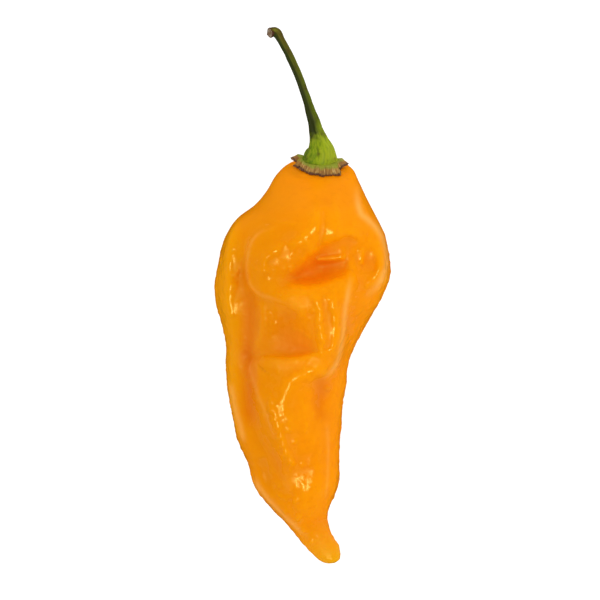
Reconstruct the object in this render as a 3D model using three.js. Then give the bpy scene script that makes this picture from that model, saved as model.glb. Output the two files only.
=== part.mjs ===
// A yellow lantern chilli as picked, lying on its side: the lobed and folded pod, the dry ragged
// calyx that caps it, and the curved stem that flares out of the calyx.
// Millimetres. +Y runs from the pod's tip to its stem, +X is to the right seen from above, and +Z
// is up from the surface that the pod lies on, which is the plane Z = 0.
import * as THREE from "three";

// Clear air between neighbouring pieces
const GAP = 0.3;

// Stem, from the flare on the calyx to the cut end
const STEM_BASE_RADIUS = 2.8;
const STEM_RIBS = 5;
const STEM_RIB_DEPTH = 0.07;

// Calyx, measured out from the middle of the crown
const CALYX_RADIUS = 3.7;
const CALYX_RIM_THICKNESS = 0.6;
const CALYX_CROWN_THICKNESS = 1.5;

// Facets: rings down the pod by points round it, and the same for the smaller pieces
const POD_RINGS = 76;
const POD_SIDES = 64;
const CALYX_SIDES = 72;
const STEM_SIDES = 20;

// The pod's rings from the crown to the tip. Each has its leftmost point (x, y), its rightmost
// point (x, y), the height of its top and of its underside, and its lean: how far the ring's top
// tips back towards the tip of the pod, for each millimetre of height.
const POD_OUTLINE = [
  [3.2, 23.6, 3.2, 23.6, 12.6, 12.6, 0.48],
  [0.1, 23.3, 6.3, 23.1, 15.6, 9.6, 0.36],
  [-2.0, 23.3, 8.3, 23.1, 17.3, 8.0, 0.42],
  [-3.4, 22.8, 9.4, 22.4, 18.8, 6.9, 0.38],
  [-4.9, 21.2, 10.0, 20.9, 20.5, 5.8, 0.27],
  [-6.3, 18.9, 11.0, 18.9, 22.1, 4.8, 0.17],
  [-8.5, 16.4, 12.4, 16.4, 23.4, 3.6, 0.06],
  [-11.7, 14.0, 13.7, 13.9, 24.3, 2.3, 0.02],
  [-13.7, 11.0, 15.0, 11.0, 25.0, 1.2, 0.0],
  [-14.9, 7.3, 15.7, 7.3, 25.2, 0.5, 0.0],
  [-15.6, 3.4, 15.7, 3.4, 25.2, 0.0, 0.0],
  [-15.5, -0.6, 14.1, -0.5, 24.8, -0.35, 0.0],
  [-14.5, -4.2, 12.0, -4.2, 24.0, -0.35, 0.0],
  [-13.7, -8.1, 9.8, -8.1, 22.9, 0.0, 0.0],
  [-13.8, -12.2, 8.3, -12.1, 21.9, 0.3, 0.0],
  [-13.5, -16.4, 7.8, -16.2, 21.0, 0.5, 0.0],
  [-12.6, -20.7, 7.3, -20.5, 20.0, 0.7, 0.0],
  [-11.8, -25.4, 6.8, -25.4, 18.6, 1.0, 0.0],
  [-9.8, -30.1, 6.8, -29.8, 17.1, 1.3, 0.0],
  [-8.4, -34.4, 6.6, -33.8, 15.6, 1.7, 0.0],
  [-5.6, -38.2, 5.0, -37.8, 13.4, 2.5, 0.0],
  [-2.7, -41.2, 4.6, -40.3, 11.2, 3.4, 0.0],
  [0.0, -44.3, 5.4, -43.0, 9.8, 4.2, 0.0],
  [2.0, -46.4, 6.5, -44.8, 9.2, 4.8, 0.0],
  [3.4, -47.7, 6.9, -46.3, 8.9, 5.1, 0.0],
  [4.6, -48.2, 6.8, -47.4, 8.3, 5.7, 0.0],
  [5.9, -48.15, 5.9, -48.15, 7.0, 7.0, 0.0],
];

// The relief, by the face that it lies on. Top and underside are drawn in x and y, the two flanks
// in y and z. Swellings: middle, half width, half length, turn in degrees, height, with a negative
// height for a hollow. Creases: height, negative for a groove, half width, and the line. Folds:
// rise from the low side to the high side, half width of the wall between them, reach, and the
// line with its high side on the left.
const RELIEF = {
  top: {
    swellings: [
      // Foot of the smooth dome below the calyx, and the dent under it
      [2.8, 14.0, 5.4, 3.2, 0, 1.5],
      [2.4, 4.7, 5.2, 2.4, 12, -2.7],
      [3.1, 8.4, 1.6, 2.4, 0, -0.6],
      [-0.6, 3.2, 3.4, 1.1, 8, -0.7],
      [11.2, 6.6, 2.6, 1.8, -20, -0.8],
      // Lobe at the upper left, and the outer lobes on either side
      [-6.6, 6.4, 2.8, 4.6, 0, 1.0],
      [-12.6, 11.0, 2.4, 5.0, 0, 1.0],
      [14.6, 5.6, 2.0, 5.5, 0, 2.6],
      // Middle lobe, and the hollow at its left
      [7.0, 0.6, 7.0, 3.0, 0, 1.0],
      [4.8, -9.0, 3.4, 5.0, 0, 1.9],
      [-3.2, -7.4, 4.8, 3.8, 4, -1.6],
      // Lower lobe, and the small dimple on its right
      [-2.0, -21.0, 4.8, 8.0, -8, 1.0],
      [3.0, -18.0, 1.2, 3.0, 0, -0.7],
      // Swelling below the lower lobe, level on its top
      [0.7, -32.2, 2.1, 3.2, 0, -0.5],
      [0.9, -36.0, 3.4, 4.5, 0, 1.0],
      [4.6, -32.5, 3.4, 5.0, 0, 0.9],
    ],
    creases: [
      // Main crease down the left side
      [-2.0, 1.8, [[-10.4, 9.0], [-9.9, 5.0], [-9.7, 1.5], [-9.3, -3.0], [-9.2, -7.0],
        [-9.4, -11.0], [-9.9, -15.0]]],
      [-1.1, 2.0, [[-9.4, -6.0], [-9.9, -13.0], [-9.8, -18.5], [-8.7, -22.1], [-7.3, -25.7],
        [-6.4, -29.5], [-5.4, -33.0], [-4.2, -36.0]]],
      [-0.7, 1.0, [[-6.3, -21.5], [-5.3, -25.0], [-4.5, -28.5], [-3.7, -32.5], [-3.0, -36.0]]],
      // Crest of the outer left lobe
      [1.4, 1.1, [[-12.2, 17.0], [-13.2, 11.0], [-13.5, 6.0], [-13.4, 1.0], [-13.2, -3.0],
        [-12.9, -8.0]]],
      // Left lip of the hollow
      [0.8, 0.9, [[-8.3, -0.2], [-7.2, -2.3], [-7.4, -5.6], [-8.1, -8.6], [-8.8, -11.3]]],
      // Two long ridges that curve down the lower lobe
      [0.6, 1.1, [[6.0, -11.4], [4.4, -12.3], [2.9, -12.9], [0.7, -13.8], [-1.1, -14.8],
        [-2.5, -16.2], [-3.6, -18.0], [-3.8, -19.8], [-3.2, -21.8], [-2.5, -23.6], [-1.8, -25.7]]],
      [0.9, 0.9, [[-5.9, -15.8], [-5.6, -18.5], [-4.5, -23.0], [-3.2, -26.6], [-1.6, -31.6]]],
      // Two upright ridges on the middle lobe
      [0.8, 0.9, [[1.9, 0.4], [2.9, -2.2], [3.2, -5.3], [3.6, -7.8], [3.4, -10.8]]],
      [0.8, 0.9, [[5.1, 0.5], [6.0, -2.2], [6.3, -5.3], [6.1, -8.2], [4.8, -10.6]]],
      // Seam down the lower right
      [-0.6, 1.4, [[5.0, -14.6], [4.7, -18.0], [4.9, -22.1], [4.7, -26.6], [4.5, -31.1],
        [4.1, -35.6]]],
      // Groove on the dome's left, its two soft ribs, and the crest of the right shoulder
      [-0.5, 2.4, [[-1.8, 21.4], [-2.6, 17.5], [-3.2, 13.0]]],
      [0.5, 1.2, [[2.0, 19.5], [1.8, 15.0], [1.2, 12.2], [-0.1, 10.8], [-1.6, 9.4], [-3.2, 8.2]]],
      [0.4, 1.2, [[6.0, 19.5], [6.2, 16.0], [6.0, 12.2], [5.6, 9.4]]],
      [0.4, 1.2, [[9.9, 20.3], [10.3, 17.5], [10.8, 14.8], [12.4, 12.8], [14.2, 10.3]]],
      // Groove at the lower left
      [-0.5, 1.0, [[-7.6, -28.4], [-6.6, -31.1], [-5.2, -34.0], [-3.4, -37.0]]],
      // Ledge inside the dent, and the curl inside the upper left lobe
      [0.5, 0.8, [[2.2, 6.6], [5.0, 6.8], [8.0, 7.2]]],
      [0.5, 0.9, [[-2.6, 9.8], [-5.0, 8.2], [-6.5, 7.0], [-7.0, 5.4], [-6.7, 3.6]]],
    ],
    folds: [
      // Edge of the upper left lobe
      [0.9, 0.6, 3.4, [[-3.2, 12.8], [-5.8, 12.4], [-7.9, 11.7], [-9.2, 9.7], [-9.7, 7.0],
        [-9.7, 4.5], [-9.2, 1.8]]],
      [1.7, 0.8, 3.4, [[-9.8, 6.5], [-9.7, 4.5], [-9.2, 1.8], [-7.2, 0.2], [-4.7, -0.9],
        [-1.8, -2.2], [0.7, -4.1]]],
      // Upper and left edge of the lower lobe
      [1.3, 0.6, 2.6, [[6.2, -8.8], [4.0, -9.4], [0.5, -10.2], [-3.1, -10.7], [-6.6, -10.6],
        [-8.4, -11.2], [-9.2, -13.0]]],
      [1.6, 0.8, 3.0, [[-7.0, -10.6], [-8.6, -11.3], [-9.2, -13.0], [-8.8, -15.8], [-7.9, -19.4],
        [-6.5, -23.9], [-4.7, -27.2], [-3.2, -29.7], [-1.8, -32.6]]],
      // The S-shaped step down the right side
      [1.6, 0.8, 3.6, [[1.1, -16.7], [3.2, -14.9], [5.8, -12.4], [7.2, -9.9], [7.9, -6.8],
        [7.9, -3.8], [8.6, -0.2], [9.5, 3.1], [9.0, 5.6]]],
      // Foot of the dome over the dent, and the dent's far edge
      [1.6, 0.8, 5.0, [[0.4, 6.6], [2.4, 7.8], [4.2, 9.4], [6.4, 10.4], [8.6, 10.6],
        [11.0, 9.6]]],
      [1.1, 0.8, 6.0, [[9.2, 5.2], [7.2, 4.2], [4.4, 3.1], [1.6, 2.2], [-0.8, 2.4],
        [-2.4, 3.4]]],
    ],
  },
  underside: {
    swellings: [
      // Dents on either side of the belly, and a shallow one nearer the tip
      [6.5, 12.5, 4.5, 3.4, 15, -2.2],
      [-7.5, 10.5, 3.0, 5.0, 10, -1.4],
      [2.0, -17.0, 3.0, 5.5, 5, -1.0],
      // Low lobe on the left
      [-8.0, -14.0, 2.4, 6.0, 0, 1.0],
    ],
    creases: [
      // Long creases between the pod's lobes
      [-1.5, 1.5, [[0.5, 18.5], [-1.5, 13.5], [-4.5, 8.0], [-7.5, 2.0], [-7.5, -5.0],
        [-5.5, -12.0], [-4.5, -20.0], [-3.5, -28.0]]],
      [-1.2, 1.4, [[9.0, 6.0], [8.0, 0.0], [6.0, -8.0], [4.5, -14.0], [3.5, -24.0], [3.0, -32.0]]],
    ],
    folds: [],
  },
  left: {
    swellings: [[6.0, 6.5, 5.0, 2.4, 0, -0.6]],
    creases: [
      [-0.8, 1.2, [[12.0, 7.5], [6.0, 6.0], [-2.0, 6.5], [-10.0, 6.0], [-18.0, 6.5], [-28.0, 5.5]]],
    ],
    folds: [],
  },
  right: {
    swellings: [[-6.0, 7.0, 6.0, 2.4, 0, -0.6]],
    creases: [
      [-0.8, 1.2, [[15.0, 7.5], [8.0, 6.5], [0.0, 7.0], [-8.0, 6.0], [-17.0, 6.5], [-27.0, 5.5]]],
    ],
    folds: [],
  },
};

// The calyx's teeth: bearing round the crown in degrees (0 right, 90 up, 180 left), how far each
// stands out past the rim, how far its point curls off the pod, and its half width in degrees.
const CALYX_TEETH = [
  [352, 1.2, 0.9, 12],
  [52, 1.1, 0.1, 30],
  [110, 0.4, 0.1, 22],
  [192, 0.9, 0.9, 14],
  [276, 0.7, 0.3, 24],
];
// Smaller waves of the torn rim: waves round the rim, depth, and phase in degrees
const CALYX_TEARS = [
  [11, 0.1, 20],
  [17, 0.09, 75],
  [7, 0.12, 130],
];

// The stem's middle line above the flare (x, y, z) and its radius there
const STEM_LINE = [
  [3.28, 26.4, 14.0, 2.42],
  [2.93, 28.2, 14.5, 1.66],
  [2.42, 30.0, 15.1, 1.24],
  [2.0, 31.8, 15.8, 1.08],
  [1.4, 33.5, 16.4, 0.88],
  [0.9, 35.2, 17.0, 0.78],
  [-0.4, 38.8, 17.8, 0.72],
  [-1.9, 42.3, 18.3, 0.72],
  [-2.9, 44.3, 18.4, 0.7],
  [-3.9, 46.1, 18.4, 0.74],
  [-4.8, 47.3, 18.2, 0.86],
  [-6.4, 47.0, 17.8, 0.86],
];

const ramp = THREE.MathUtils.smoothstep;
const radians = THREE.MathUtils.degToRad;
const clamp = THREE.MathUtils.clamp;

// A smooth curve through rows of numbers, with t from 0 at the first row to 1 at the last
function through(rows, t) {
  const last = rows.length - 1;
  const place = clamp(t, 0, 1) * last;
  const start = Math.min(Math.floor(place), last - 1);
  const f = place - start;
  return rows[0].map((_, column) => {
    const [a, b, c, d] = [-1, 0, 1, 2].map((k) => rows[clamp(start + k, 0, last)][column]);
    return b + 0.5 * f * (c - a + f * (2 * a - 5 * b + 4 * c - d + f * (3 * (b - c) + d - a)));
  });
}

// A line's points joined by short straight steps
function drawn(line) {
  const steps = (line.length - 1) * 6;
  return Array.from({ length: steps + 1 }, (_, i) => through(line, i / steps));
}

// Where a point lies by a drawn line: how far off it, positive on its left, and its strength,
// which dies away towards the line's two ends
function beside(line, x, y) {
  let nearest = Infinity;
  let side = 1;
  let along = 0;
  for (let i = 0; i + 1 < line.length; i++) {
    const [ax, ay] = line[i];
    const [dx, dy] = [line[i + 1][0] - ax, line[i + 1][1] - ay];
    const f = clamp(((x - ax) * dx + (y - ay) * dy) / (dx * dx + dy * dy), 0, 1);
    const [ox, oy] = [x - ax - f * dx, y - ay - f * dy];
    const off = Math.hypot(ox, oy);
    if (off < nearest) {
      nearest = off;
      side = dx * oy - dy * ox < 0 ? -1 : 1;
      along = (i + f) / (line.length - 1);
    }
  }
  return { off: side * nearest, strength: ramp(along, 0, 0.2) * ramp(1 - along, 0, 0.2) };
}

// A face's relief with its lines drawn once
function prepared({ swellings, creases, folds }) {
  return {
    swellings,
    creases: creases.map(([height, width, line]) => ({ height, width, line: drawn(line) })),
    folds: folds.map(([rise, wall, reach, line]) => ({ rise, wall, reach, line: drawn(line) })),
  };
}

// How far a face's relief stands out at a point of that face
function height(face, x, y) {
  let h = 0;
  for (const [cx, cy, width, length, turn, rise] of face.swellings) {
    const [c, s] = [Math.cos(radians(turn)), Math.sin(radians(turn))];
    const across = ((x - cx) * c + (y - cy) * s) / width;
    const along = ((y - cy) * c - (x - cx) * s) / length;
    h += rise * Math.exp(-across * across - along * along);
  }
  for (const crease of face.creases) {
    const { off, strength } = beside(crease.line, x, y);
    h += crease.height * strength * Math.exp(-((off / crease.width) ** 2));
  }
  for (const fold of face.folds) {
    const { off, strength } = beside(fold.line, x, y);
    const wall = 0.5 * Math.tanh(off / fold.wall);
    h += fold.rise * strength * wall * Math.exp(-((off / fold.reach) ** 2));
  }
  return h;
}

const faces = Object.fromEntries(
  Object.entries(RELIEF).map(([name, face]) => [name, prepared(face)]),
);

// A face's relief counts in full where the skin looks that way, and not at all at right angles
const facing = (toward) => ramp(toward, 0.05, 0.45);

// A point of the pod's skin: t from 0 at the crown to 1 at the tip, bearing from 0 on the right
// through a quarter turn on top
function podPoint(t, bearing) {
  const [lx, ly, rx, ry, top, under, lean] = through(POD_OUTLINE, t);
  const [side, up] = [Math.cos(bearing), Math.sin(bearing)];
  const above = ((top - under) / 2) * up;
  const x = (lx + rx) / 2 + ((rx - lx) / 2) * side;
  const y = (ly + ry) / 2 + ((ry - ly) / 2) * side - lean * above;
  const z = (top + under) / 2 + above;
  const left = facing(-side) * height(faces.left, y, z);
  const right = facing(side) * height(faces.right, y, z);
  const upper = facing(up) * height(faces.top, x, y);
  const lower = facing(-up) * height(faces.underside, x, y);
  return new THREE.Vector3(x + right - left, y, Math.max(z + upper - lower, 0));
}

// The pod's outward direction at a point of its skin
function podNormal(t, bearing) {
  const step = 1e-3;
  const s = clamp(t, step, 1 - step);
  const down = podPoint(s + step, bearing).sub(podPoint(s - step, bearing));
  const round = podPoint(s, bearing + step).sub(podPoint(s, bearing - step));
  return round.cross(down).normalize();
}

const crown = podPoint(0, 0);
const crownAxis = new THREE.Vector3(0, 1, POD_OUTLINE[0][6]).normalize();

// How far down the pod, in t, its ring is this far across from the crown's middle
function ringOf(radius) {
  let [low, high] = [0, 0.2];
  for (let i = 0; i < 30; i++) {
    const middle = (low + high) / 2;
    const [lx, , rx] = through(POD_OUTLINE, middle);
    if ((rx - lx) / 2 < radius) low = middle;
    else high = middle;
  }
  return low;
}

// A point over the crown: that far out from its middle, and that far off the pod's skin
function overCrown(radius, bearing, off) {
  if (radius < 0.05) return crown.clone().addScaledVector(crownAxis, off);
  const t = ringOf(radius);
  return podPoint(t, bearing).addScaledVector(podNormal(t, bearing), off);
}

// A closed body from rings of points, each of which runs the same way round, and a point at each
// end. Each four-sided patch is split along its shorter diagonal.
function skin(first, rings, last) {
  const points = [first, ...rings.flat(), last];
  const sides = rings[0].length;
  const at = (ring, side) => 1 + ring * sides + (side % sides);
  const index = [];
  for (let j = 0; j < sides; j++) {
    index.push(0, at(0, j + 1), at(0, j));
    index.push(points.length - 1, at(rings.length - 1, j), at(rings.length - 1, j + 1));
    for (let i = 0; i + 1 < rings.length; i++) {
      const [a, b, c, d] = [at(i, j), at(i, j + 1), at(i + 1, j + 1), at(i + 1, j)];
      if (points[a].distanceTo(points[c]) < points[b].distanceTo(points[d])) {
        index.push(a, b, c, a, c, d);
      } else {
        index.push(a, b, d, b, c, d);
      }
    }
  }
  const geometry = new THREE.BufferGeometry().setFromPoints(points).setIndex(index);
  geometry.computeVertexNormals();
  return geometry;
}

// One ring: a function of the bearing, taken at equal steps
const ringOfPoints = (sides, point) =>
  Array.from({ length: sides }, (_, j) => point((j / sides) * 2 * Math.PI));

function podGeometry() {
  const rings = [];
  for (let i = 1; i < POD_RINGS; i++) {
    rings.push(ringOfPoints(POD_SIDES, (bearing) => podPoint(i / POD_RINGS, bearing)));
  }
  return skin(crown, rings, podPoint(1, 0));
}

// How far the calyx reaches from the crown's middle, and how far its edge curls off the pod
function calyxRim(bearing) {
  let radius = CALYX_RADIUS;
  let curl = 0;
  for (const [waves, depth, phase] of CALYX_TEARS) {
    radius += depth * Math.sin(waves * bearing + radians(phase));
  }
  for (const [middle, length, lift, width] of CALYX_TEETH) {
    const away = Math.abs(((THREE.MathUtils.radToDeg(bearing) - middle + 540) % 360) - 180);
    const share = Math.max(0, 1 - away / width);
    radius += length * share;
    curl += lift * share;
  }
  return { radius, curl };
}

function calyxGeometry() {
  const upper = 2 * GAP + CALYX_CROWN_THICKNESS;
  const shoulder = STEM_BASE_RADIUS / CALYX_RADIUS;
  // Share of the way out to the rim, and thickness there as a share from rim to crown
  const point = (share, thick) => (bearing) => {
    const { radius, curl } = calyxRim(bearing);
    const lift = curl * ramp(share, 0.6, 1);
    const thickness = thick * (CALYX_CROWN_THICKNESS - CALYX_RIM_THICKNESS) + CALYX_RIM_THICKNESS;
    const inner = share <= shoulder ? share * CALYX_RADIUS : share * radius;
    return overCrown(inner, bearing, GAP + lift + (thick < 0 ? 0 : thickness));
  };
  const profile = [
    [0.3, -1],
    [0.6, -1],
    [0.85, -1],
    [1.0, -1],
    [1.02, 0],
    [0.94, 0.22],
    [0.85, 0.6],
    [shoulder, 1],
    [0.4, 1],
  ];
  const rings = profile.map(([share, thick]) => ringOfPoints(CALYX_SIDES, point(share, thick)));
  rings.reverse();
  return skin(overCrown(0, 0, upper - GAP), rings, overCrown(0, 0, GAP));
}

function stemGeometry() {
  const foot = 2 * GAP + CALYX_CROWN_THICKNESS;
  const start = overCrown(0, 0, foot);
  const rows = [[start.x, start.y, start.z, STEM_BASE_RADIUS], ...STEM_LINE];
  const steps = 44;
  const rings = [];
  for (let i = 1; i <= steps; i++) {
    const t = i / steps;
    const [x, y, z, radius] = through(rows, t);
    const [ahead, behind] = [through(rows, t + 0.01), through(rows, t - 0.01)];
    const run = new THREE.Vector3(...ahead).sub(new THREE.Vector3(...behind)).normalize();
    const over = new THREE.Vector3(0, 0, 1);
    const across = new THREE.Vector3().crossVectors(run, over).normalize();
    over.crossVectors(across, run);
    rings.unshift(
      ringOfPoints(STEM_SIDES, (bearing) => {
        const r = radius * (1 + STEM_RIB_DEPTH * Math.cos(STEM_RIBS * bearing));
        return new THREE.Vector3(x, y, z)
          .addScaledVector(across, r * Math.cos(bearing))
          .addScaledVector(over, r * Math.sin(bearing));
      }),
    );
  }
  rings.push(ringOfPoints(STEM_SIDES, (bearing) => overCrown(STEM_BASE_RADIUS, bearing, foot)));
  rings.push(ringOfPoints(STEM_SIDES, (bearing) => overCrown(0.5 * STEM_BASE_RADIUS, bearing, foot)));
  const [x, y, z] = rows.at(-1);
  return skin(new THREE.Vector3(x, y, z), rings, start);
}

function named(name, geometry, colour, roughness) {
  const mesh = new THREE.Mesh(
    geometry,
    new THREE.MeshStandardMaterial({ color: colour, roughness, metalness: 0 }),
  );
  mesh.name = name;
  return mesh;
}

const chilli = new THREE.Group();
chilli.name = "chilli_pepper";
chilli.add(
  named("pod", podGeometry(), "#fa9602", 0.28),
  named("calyx", calyxGeometry(), "#a47a2c", 0.8),
  named("stem", stemGeometry(), "#5d6b1e", 0.55),
);

export default chilli;
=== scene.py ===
# A yellow-orange lantern chilli as picked, lying on its side on a white table, seen from above.
# The shapes are drawn in millimetres, in the part's own frame: +Y runs from the pod's tip to the
# stem, +X is to the right, and +Z is up from the table at Z = 0. Blender gets them in metres.
import math

import bpy
import numpy as np
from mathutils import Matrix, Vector


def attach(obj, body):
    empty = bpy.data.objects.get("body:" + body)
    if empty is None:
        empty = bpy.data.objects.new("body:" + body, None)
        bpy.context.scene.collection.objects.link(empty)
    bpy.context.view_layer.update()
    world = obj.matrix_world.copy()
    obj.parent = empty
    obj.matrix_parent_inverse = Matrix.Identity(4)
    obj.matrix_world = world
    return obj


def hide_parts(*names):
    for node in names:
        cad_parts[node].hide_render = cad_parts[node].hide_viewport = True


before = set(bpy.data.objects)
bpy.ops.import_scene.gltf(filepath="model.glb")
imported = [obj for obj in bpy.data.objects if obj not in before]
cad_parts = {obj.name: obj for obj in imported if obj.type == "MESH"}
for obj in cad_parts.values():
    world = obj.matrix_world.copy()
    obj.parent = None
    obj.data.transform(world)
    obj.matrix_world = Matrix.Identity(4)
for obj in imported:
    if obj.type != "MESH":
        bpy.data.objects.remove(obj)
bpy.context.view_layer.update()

MM = 0.001

# How finely each skin is drawn: rings down it by points round it
POD_RINGS, POD_SIDES = 460, 360
CALYX_RINGS, CALYX_SIDES = 70, 420
STEM_RINGS, STEM_SIDES = 420, 96

# Clear air between the pod and the calyx, and between the calyx and the foot of the stem
CALYX_CLEARANCE = 0.08
STEM_CLEARANCE = 0.03

CALYX_RADIUS = 3.7
CALYX_RIM_THICKNESS = 0.28
CALYX_CROWN_THICKNESS = 1.5

STEM_BASE_RADIUS = 3.05
STEM_RIBS = 5
# As a share of the stem's radius
STEM_RIB_DEPTH = 0.07

# A drawn line of the relief has this many steps from each of its points to the next, and it dies
# away over this share of its length at each end
LINE_STEPS = 6
LINE_FADE = 0.2

# Unevenness of each surface: height, distance from one bump to the next, and the seed that
# scatters the bumps
POD_WAVES = (0.16, 5.0, 3)
LOBE_WAVES = (0.10, 2.6, 5)
LOBE_PIMPLES = (0.16, 1.3, 11)
FINE_LOBE_PIMPLES = (0.06, 0.8, 23)
PATCH_PIMPLES = (0.13, 0.95, 31)
CALYX_FIBRES = (0.06, 0.2, 31)
CALYX_CRUMPLE = (0.08, 0.6, 37)
STEM_FIBRES = (0.04, 0.3, 41)
STEM_LUMPS = (0.04, 0.9, 43)
CUT_FRAY = (0.08, 0.5, 47)
CUT_EDGE = (0.14, 0.4, 53)
CUT_FACE = (0.1, 0.35, 59)

# The pimples fade out up the dome between these two places in y, to this share of their height
LOBES_BELOW, DOME_ABOVE = 6, 13
DOME_SHARE = 0.25
# They also lose this share of their height on the flat that holds the broad highlight
FLAT_LOSS = 0.45

# The pod's rings from the crown to the tip. Each has its leftmost point (x, y), its rightmost
# point (x, y), the height of its top and of its underside, and its lean: how far the ring's top
# tips back towards the tip of the pod, for each millimetre of height.
POD_OUTLINE = [
    (3.2, 23.6, 3.2, 23.6, 12.6, 12.6, 0.48),
    (0.1, 23.3, 6.3, 23.1, 15.6, 9.6, 0.36),
    (-2.0, 23.3, 8.3, 23.1, 17.3, 8.0, 0.42),
    (-3.4, 22.8, 9.4, 22.4, 18.8, 6.9, 0.38),
    (-4.9, 21.2, 10.0, 20.9, 20.5, 5.8, 0.27),
    (-6.3, 18.9, 11.0, 18.9, 22.1, 4.8, 0.17),
    (-8.5, 16.4, 12.4, 16.4, 23.4, 3.6, 0.06),
    (-11.7, 14.0, 13.7, 13.9, 24.3, 2.3, 0.02),
    (-13.7, 11.0, 15.0, 11.0, 25.0, 1.2, 0.0),
    (-14.9, 7.3, 15.7, 7.3, 25.2, 0.5, 0.0),
    (-15.6, 3.4, 15.7, 3.4, 25.2, 0.0, 0.0),
    (-15.5, -0.6, 14.1, -0.5, 24.8, -0.35, 0.0),
    (-14.5, -4.2, 12.0, -4.2, 24.0, -0.35, 0.0),
    (-13.7, -8.1, 9.8, -8.1, 22.9, 0.0, 0.0),
    (-13.8, -12.2, 8.3, -12.1, 21.9, 0.3, 0.0),
    (-13.5, -16.4, 7.8, -16.2, 21.0, 0.5, 0.0),
    (-12.6, -20.7, 7.3, -20.5, 20.0, 0.7, 0.0),
    (-11.8, -25.4, 6.8, -25.4, 18.6, 1.0, 0.0),
    (-9.8, -30.1, 6.8, -29.8, 17.1, 1.3, 0.0),
    (-8.4, -34.4, 6.6, -33.8, 15.6, 1.7, 0.0),
    (-5.6, -38.2, 5.0, -37.8, 13.4, 2.5, 0.0),
    (-2.7, -41.2, 4.6, -40.3, 11.2, 3.4, 0.0),
    (0.0, -44.3, 5.4, -43.0, 9.8, 4.2, 0.0),
    (2.0, -46.4, 6.5, -44.8, 9.2, 4.8, 0.0),
    (3.4, -47.7, 6.9, -46.3, 8.9, 5.1, 0.0),
    (4.6, -48.2, 6.8, -47.4, 8.3, 5.7, 0.0),
    (5.9, -48.15, 5.9, -48.15, 7.0, 7.0, 0.0),
]

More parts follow.
